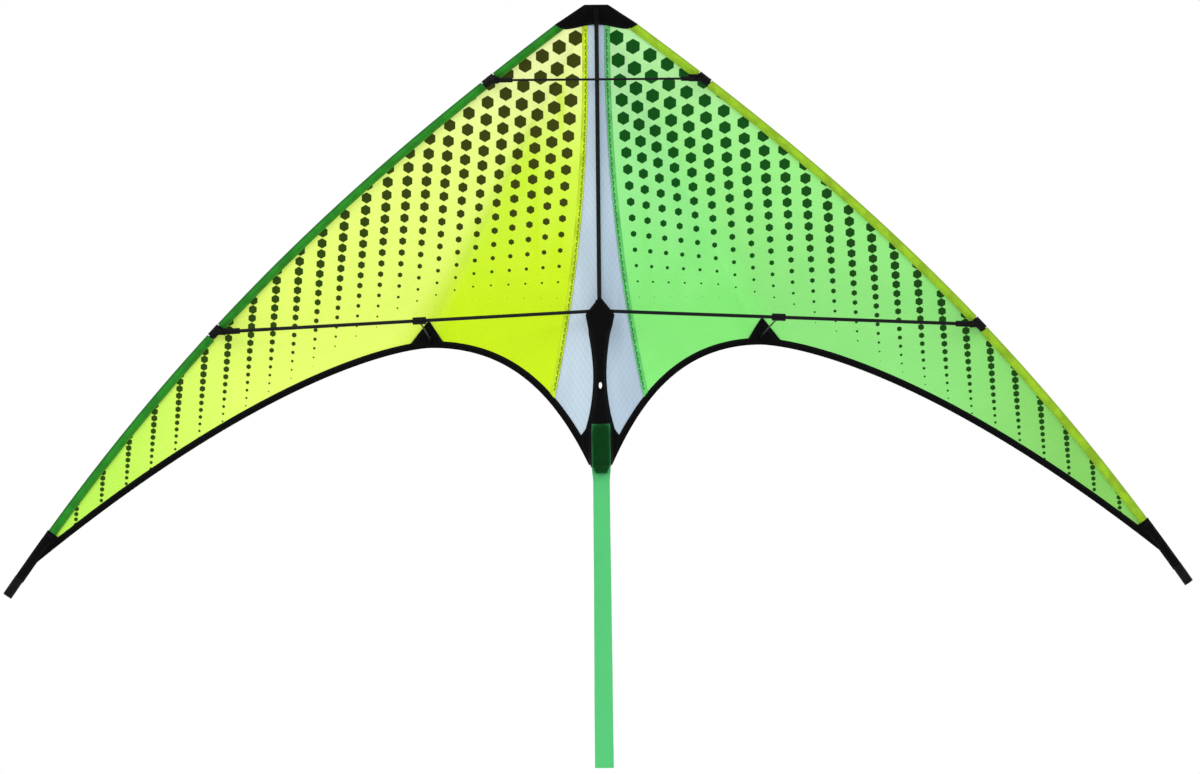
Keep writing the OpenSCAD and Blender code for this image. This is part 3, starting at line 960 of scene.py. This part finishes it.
def wing_width(x):
    """Distance between the wing's two edges."""
    return (le_z(x) - te_z(x)) / math.hypot(slope(le_z, x), 1)


def binding_w(x):
    """The binding's width; it narrows where the two edges of the wing close in on each other."""
    return min(BINDING, max(3.5, wing_width(x) - SLEEVE + 1.5))


# Half of the tape's section: share of its width, and height off the cloth.
BINDING_SECTION = [(0.02, 0.35), (0.1, 0.75), (0.3, 0.82), (0.6, 0.75), (0.9, 0.62), (1.0, 0.3)]
BINDING_START = 15.0
BINDING_END = 722.0


def binding(side):
    """Folded black tape along the trailing edge, with a row of stitches."""
    rings, path = [], []
    for x in edge_marks(BINDING_START, BINDING_END, 3.0):
        w = binding_w(x)
        n = inward(te_z, x)
        pucker = 0.25 * noise.noise(Vector((x / 9, side * 4.0, 0)))
        ring = []
        for half in (-1, 1):
            row = BINDING_SECTION if half < 0 else list(reversed(BINDING_SECTION))
            for a, h in row:
                p = (x + n[0] * a * w, te_z(x) + n[1] * a * w)
                ring.append(lift(p, half * h * (1 + 0.35 * pucker * half) + pucker))
        rings.append(ring)
        p = (x + n[0] * (w - 2.0), te_z(x) + n[1] * (w - 2.0))
        path.append((lift(p, -0.72 + pucker), (0, -1, 0)))
    name = SIDES[side]
    tape = webbing_piece("trailing_edge_tape_" + name, side, sweep(rings), "wing_" + name)
    stitches = seam(path[3:], 3.4, width=0.6, height=0.3)
    thread_piece("trailing_edge_stitches_" + name, side, stitches, "wing_" + name)
    return tape


TIP_SECTION = [(-5.9, 0.0), (-5.4, 2.2), (-4.0, 3.5), (-2.0, 4.3), (0.0, 4.5), (2.0, 4.2),
               (3.8, 3.2), (5.2, 2.0), (6.2, 1.4), (6.9, 0.8)]


def tip_pocket(side):
    """Webbing that closes round the rod's outer end."""
    x0 = high("leading_edge_sleeve_right").x - 0.5
    x1 = high("tip_pocket_right").x + 2
    rings = []
    for x in edge_marks(x0, x1, 1.5):
        mouth = 1 + 0.03 * (1 - smooth(0, 4, x - x0))
        # The webbing also covers the narrow wedge of cloth between the two edges.
        fill = max(1.0, (wing_width(x) - SLEEVE / 2 - 1.5) / TIP_SECTION[-1][0])
        section = [(a * fill if a > 2 else a, h) for a, h in TIP_SECTION]
        rings.append(ring_at(x, section, side * 11.0, mouth, rough=0.04))
    name = SIDES[side]
    o = webbing_piece("tip_webbing_" + name, side, sweep(rings), "wing_" + name)
    threads = []
    for w, dy in ((-3.2, -4.0), (4.6, -2.6)):
        threads.append(seam(hem_path(x0 + 2, x1 - 2, w, dy), 3.0, width=0.7, height=0.4))
    for x in (x0 + 3, x1 - 3):
        n = inward(le_z, x)
        across = [(le_axis(x) + Vector((n[0] * w, -4.7 + w * w * 0.06, n[1] * w)), (0, -1, 0))
                  for w in (-4.0, -2.0, 0.0, 2.0, 4.0)]
        threads.append(seam(across, 1.6, swing=2.4, width=0.6, height=0.4))
    stitches = joined(threads)
    thread_piece("tip_stitches_" + name, side, stitches, "wing_" + name)
    return o


NOSE_TOP = 15.0
SHOULDER = (53.0, NOSE_Z - 25.0)


def nose_top(x):
    """Upper edge: flat in the middle and straight down to the shoulders."""
    return NOSE_Z - max(0, x - NOSE_TOP) * (NOSE_Z - SHOULDER[1]) / (SHOULDER[0] - NOSE_TOP)


def nose_foot(x):
    """Lower edge: an arch that drops to its lowest near the shoulders and turns up at the corner."""
    drop = 25.5 + 5.5 * smooth(4, 40, x)
    return NOSE_Z - mix(drop, NOSE_Z - SHOULDER[1] + 1.2, smooth(42, SHOULDER[0], x))


def rod_distance(x, z):
    """Distance in the sail's plane from the leading edge rod's axis."""
    n = inward(le_z, x)
    return (le_z(x) - z) * -n[1] - SLEEVE / 2


def nose_front(x, z):
    spine = 6.9 * math.exp(-((x / 6.0) ** 2))
    edge = 4.7 * math.exp(-((rod_distance(x, z) / 5.0) ** 2)) * smooth(14, 26, x)
    body = 1.2 * (1 - smooth(20, 50, x))
    return cloth_y(x, z) - 0.9 - max(spine, edge, body) - 0.35 * noise.noise(Vector((x / 13, z / 9, 1.5)))


def nose_back(x, z):
    edge = 2.6 * math.exp(-((rod_distance(x, z) / 5.0) ** 2)) * smooth(14, 26, x)
    middle = 3.0 * math.exp(-((x / 8.0) ** 2))
    return max(cloth_y(x, z) + 1.0, CLOTH_Y + 0.5) + max(edge, middle)


def nose(side):
    """Half of the webbing patch that is folded over the nose."""
    rows, cols = 22, 44
    front, back = [], []
    for j in range(rows + 1):
        v = j / rows
        fr, bk = [], []
        for i in range(cols + 1):
            x = mix(0.0, SHOULDER[0], i / cols)
            z = mix(nose_top(x), nose_foot(x), v)
            f, b = nose_front(x, z), nose_back(x, z)
            mid = mix(f, b, 0.5)
            rim = min((nose_top(x) - z) / 2.2, (SHOULDER[0] - x) / 1.6, 1.0)
            full = rounded(rim, 0.16)
            foot = 1 - 0.25 * smooth(0.86, 1.0, v)
            fr.append(Vector((x, mid + (f - mid) * full * foot, z)))
            bk.append(Vector((x, mid + (b - mid) * full * foot, z)))
        front.append(fr)
        back.append(bk)
    name = SIDES[side]
    o = webbing_piece("nose_webbing_" + name, side, cloth(front, back))
    wing_blend(o)
    path = []
    for k in range(41):
        x = mix(3.0, 46.0, k / 40)
        z = nose_foot(x) + 2.4
        path.append((Vector((x, nose_front(x, z) + 0.25, z)), (0, -1, 0)))
    stitches = seam(path, 3.0, width=0.7, height=0.4)
    threads = thread_piece("nose_stitches_" + name, side, stitches)
    wing_blend(threads)
    return o


def wing_blend(o):
    """Bakes the piece's placement into its mesh."""
    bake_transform(o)


# Half-width of the webbing on the spine against height: a diamond over the centre fitting, a
# waist, and a foot that spreads into the tail.
STRAP = [(18, 0.5), (-5, 18.7), (-24, 14.6), (-50, 10.6), (-78, 8.5), (-104, 9.6), (-130, 13.4), (-154, 19.5)]


def strap_half(z):
    """Straight shoulders above the widest place, then a smooth waist."""
    if z > STRAP[1][0]:
        (a, wa), (b, wb) = STRAP[0], STRAP[1]
        return mix(wa, wb, (a - z) / (a - b))
    for k in range(1, len(STRAP) - 1):
        (a, wa), (b, wb) = STRAP[k], STRAP[k + 1]
        if z >= b:
            t = (a - z) / (a - b)
            before = STRAP[k - 1][1] if k > 1 else wa + (wa - wb)
            after = STRAP[k + 2][1] if k + 2 < len(STRAP) else wb + (wb - wa)
            # A Catmull-Rom curve through the marks.
            return 0.5 * (2 * wa + (wb - before) * t + (2 * before - 5 * wa + 4 * wb - after) * t**2
                          + (3 * wa - before - 3 * wb + after) * t**3)
    return STRAP[-1][1]


STRAP_FRONT = low("spine_reinforcement").y
STRAP_BACK = -4.3


def strap_y(x, z):
    """Front of the webbing: out over the centre fitting, down on to the cloth at its edges."""
    share = clamp(x / max(1.0, strap_half(z)))
    crown = mix(STRAP_BACK, STRAP_FRONT, smooth(-40, -18, z))
    edge = mix(cloth_y(x, z) - 1.0, STRAP_FRONT + 1.6, smooth(-34, -16, z))
    over = mix(share**2, smooth(0.35, 1.0, share), smooth(-30, -60, z))
    return mix(crown, edge, over)


def strap(side):
    """Half of the webbing down the spine."""
    rows, cols = 80, 10
    grid = []
    foot = STRAP[-1][0]
    for j in range(rows + 1):
        z = mix(STRAP[0][0], foot, j / rows)
        across = [strap_half(z) * i / cols for i in range(cols + 1)]
        grid.append([Vector((x, strap_y(x, z), z)) for x in across])
    name = SIDES[side]
    o = webbing_piece("spine_webbing_" + name, side, layered(grid, 1.0))
    wing_blend(o)
    path = []
    for k in range(60):
        z = mix(8.0, foot + 2, k / 59)
        x = max(0.4, strap_half(z) - 2.6)
        path.append((Vector((x, strap_y(x, z) - 0.5, z)), (0, -1, 0)))
    stitches = seam(path, 3.0, width=0.7, height=0.4)
    threads = thread_piece("spine_stitches_" + name, side, stitches)
    wing_blend(threads)
    return o


# The pocket at the spine's foot, and the face of the tab behind the ribbon's end.
POCKET_TOP = high("tail_pocket").z - 0.5
POCKET_FOOT = low("tail_pocket").z
TAB_Y = low("tail_tab").y + 0.15


def edge_x(z):
    """Distance from the spine at which the trailing edge has the height z."""
    a, b = 0.0, STANDOFF_X
    for _ in range(24):
        x = (a + b) / 2
        a, b = (x, b) if te_z(x) < z else (a, x)
    return x


def pocket_half(z):
    """Half-width of the webbing at the spine's foot: it spreads below the strap, follows the
    trailing edge tapes inside their fold and ends blunt."""
    spread = strap_half(POCKET_TOP) + 0.75 * (POCKET_TOP - z)
    blunt = 6.0 + 3.0 * math.sqrt(max(0.0, z - POCKET_FOOT))
    return min(spread, edge_x(z) - 1.5, blunt)


def pocket_front(x, z):
    """Front of the pocket: a flat raised middle that the ribbon is sewn to, down to the cloth."""
    return mix(TAB_Y, cloth_y(x, z) - 1.6, smooth(11.5, 17, x))


def tail_pocket(side):
    """Half of the webbing pocket that closes round the spine's lower end."""
    rows, cols = 36, 16
    front, back = [], []
    for j in range(rows + 1):
        z = mix(POCKET_TOP, POCKET_FOOT, (j / rows) ** 0.9)
        half = max(0.5, pocket_half(z))
        fr, bk = [], []
        for i in range(cols + 1):
            x = half * (i / cols)
            f = pocket_front(x, z)
            b = cloth_y(x, z) + 1.6 + 1.9 * math.exp(-((x / 6.5) ** 2))
            full = rounded(min((half - x) / 2.0, (z - POCKET_FOOT) / 2.0), 0.2)
            mid = mix(f, b, 0.5)
            fr.append(Vector((x, mid + (f - mid) * full, z)))
            bk.append(Vector((x, mid + (b - mid) * full, z)))
        front.append(fr)
        back.append(bk)
    name = SIDES[side]
    o = webbing_piece("tail_webbing_" + name, side, cloth(front, back))
    wing_blend(o)
    path = []
    for k in range(40):
        z = mix(POCKET_TOP - 3, POCKET_FOOT + 5, k / 39)
        x = max(0.5, pocket_half(z) - 3.0)
        path.append((Vector((x, pocket_front(x, z) - 0.15, z)), (0, -1, 0)))
    stitches = seam(path, 3.0, width=0.7, height=0.4)
    threads = thread_piece("tail_stitches_" + name, side, stitches)
    wing_blend(threads)
    return o


RIBBON_TOP = high("tail_ribbon").z
RIBBON_FOOT = low("tail_ribbon").z
RIBBON_Y = (low("tail_ribbon").y + high("tail_ribbon").y) / 2


def ribbon():
    """The hung tail: wider where it is sewn on, with a slow wave and slightly curled edges."""
    rows, cols = 150, 8
    grid = []
    for j in range(rows + 1):
        t = j / rows
        z = mix(RIBBON_TOP, RIBBON_FOOT, t)
        sewn = 1 - smooth(0.13, 0.17, t)
        half = mix(mix(10.3, 12.0, t), 11.9, sewn)
        free = smooth(0.14, 0.5, t)
        row = []
        for i in range(cols + 1):
            u = i / cols * 2 - 1
            wave = 2.2 * math.sin(t * 9.5) * free + 1.1 * math.sin(t * 23 + 1) * free
            curl = 0.9 * u * u * free * math.sin(t * 7 + 0.6)
            turn = 1.6 * u * free * math.sin(t * 6.0)
            y = RIBBON_Y + 0.15 * (1 - smooth(0.1, 0.2, t)) + wave * 0.6 + curl + turn
            row.append(Vector((half * u, y, z)))
        grid.append(row)
    points, faces = layered(grid, 0.2)
    o = piece("tail_ribbon_cloth", 1, points, faces, RIBBON, "tail", "ribbon_green", crease=60)
    threads = []
    for z in (RIBBON_TOP - 4, RIBBON_TOP - 54):
        path = [(Vector((x, RIBBON_Y - 0.05, z)), (0, -1, 0)) for x in (-10, -5, 0, 5, 10)]
        threads.append(seam(path, 1.8, swing=2.6, width=0.6, height=0.35))
    points, faces = joined(threads)
    piece("tail_ribbon_stitches", 1, points, faces, RIBBON_THREAD, "tail", "ribbon_green", shade=False)
    return o


# The standoff's patch: width at the trailing edge, and height.
PATCH_W = 50.0
PATCH_H = 34.0


def standoff_patch(side):
    """Triangular webbing patch on the trailing edge under the standoff, with its stitches."""
    rows, cols = 24, 24
    foot = NOSE_Z - TE_DEPTH + 0.8
    front, back = [], []
    for j in range(rows + 1):
        v = j / rows
        z = mix(foot + PATCH_H, foot, v)
        half = PATCH_W / 2 * mix(0.035, 1.0, v)
        fr, bk = [], []
        for i in range(cols + 1):
            u = i / cols * 2 - 1
            x = STANDOFF_X + mix(2.0, 4.5, v) + u * half
            low_z = max(z, te_z(x) + 0.6)
            t = rounded(min((1 - abs(u)) * half / 1.2, v * PATCH_H / 1.2), 0.25)
            p = lift((x, low_z))
            fr.append(p + Vector((0, -1.45 - 0.85 * t, 0)))
            bk.append(p + Vector((0, -1.35, 0)))
        front.append(fr)
        back.append(bk)
    name = SIDES[side]
    o = webbing_piece("standoff_webbing_" + name, side, cloth(front, back), "wing_" + name)
    corners = [(-0.5 * PATCH_W + 5, 3.5), (0.0, PATCH_H - 7), (0.5 * PATCH_W - 5, 3.5)]
    path = []
    for (xa, za), (xb, zb) in zip(corners, corners[1:]):
        for k in range(14):
            x = mix(xa, xb, k / 13)
            z = foot + mix(za, zb, k / 13)
            path.append((lift((STANDOFF_X + 3 + x, z), -2.25), (0, -1, 0)))
    stitches = seam(path, 2.6, width=0.7, height=0.4)
    thread_piece("standoff_stitches_" + name, side, stitches, "wing_" + name)
    return o


def spine_glint():
    """Small pale oval patch on the webbing of the spine: a painted highlight for a small white glint there.
    """
    n, z0 = 28, -95.0
    rings = []
    for share, rise in ((1.0, 0.2), (0.96, -0.25), (0.75, -0.5), (0.3, -0.6)):
        ring = []
        for i in range(n):
            a = -2 * math.pi * i / n
            x, z = 2.1 * share * math.cos(a), z0 + 4.2 * share * math.sin(a)
            ring.append(Vector((x, strap_y(abs(x), z) - 0.5 + rise, z)))
        rings.append(ring)
    points, faces = sweep(rings)
    piece("spine_glint", 1, points, faces, GLINT_PAINT, "spine", "black_webbing")


# Build
for side, name in SIDES.items():
    sail = sail_panel(side)
    panel = centre_cloth(side)
    band = seam_band(side)
    leading = sleeve(side)
    made = {
        "sail_" + name: sail,
        "centre_panel_" + name: panel,
        "leading_edge_sleeve_" + name: leading,
        "trailing_edge_binding_" + name: binding(side),
        "tip_pocket_" + name: tip_pocket(side),
        "nose_cap": nose(side),
        "spine_reinforcement": strap(side),
        "tail_pocket": tail_pocket(side),
        "standoff_patch_" + name: standoff_patch(side),
    }
    for node, o in made.items():
        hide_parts(node)
tail = ribbon()
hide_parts("tail_ribbon")
# A pale oval painted as the glint on the spine.
spine_glint()

# Finishes of the CAD nodes that stay visible, by a word in their names.
FINISHES = (
    (("rod",), ROD),
    (("ferrule",), METAL),
    (("tab",), WEBBING),
    (("fitting", "cap", "collar", "socket", "sleeve", "connector"), MOULDED),
)
for node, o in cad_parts.items():
    if o.hide_render:
        continue
    finish = next((f for words, f in FINISHES if any(w in node for w in words)), MOULDED)
    for spot in o.material_slots:
        spot.material = finish


# Stage: a pale floor under the hung kite, a white surround and two large soft lights.
FLOOR_DROP = 190.0
FLOOR_RADIUS = 1.6


def stage():
    mesh = bpy.data.meshes.new("floor")
    n, r, z = 96, FLOOR_RADIUS, (RIBBON_FOOT - FLOOR_DROP) * MM
    ring = [(r * math.cos(2 * math.pi * k / n), r * math.sin(2 * math.pi * k / n), z) for k in range(n)]
    mesh.from_pydata(ring, [], [tuple(range(n))])
    p = Paint("floor_paint", 0.8)
    p.colour(p.blend(p.noise(3.0, 3.0), (246, 246, 246), (250, 250, 250)))
    mesh.materials.append(p.material)
    floor = bpy.data.objects.new("floor", mesh)
    bpy.context.scene.collection.objects.link(floor)
    world = bpy.data.worlds.new("surround")
    bpy.context.scene.world = world
    world.use_nodes = True
    background = world.node_tree.nodes["Background"].inputs
    background["Color"].default_value = (1, 1, 1, 1)
    background["Strength"].default_value = 1.0
    lights = (("key", (-1.6, -3.2, 2.6), 2.2, 55), ("rim", (2.4, 2.6, 2.0), 1.8, 25))
    for label, spot, size, power in lights:
        light = bpy.data.lights.new(label, "AREA")
        light.size = size
        light.energy = power
        o = bpy.data.objects.new(label, light)
        o.location = spot
        o.rotation_euler = (Vector((0, 0, -0.1)) - Vector(spot)).to_track_quat("-Z", "Y").to_euler()
        bpy.context.scene.collection.objects.link(o)


stage()
bpy.context.scene.view_settings.view_transform = "Standard"
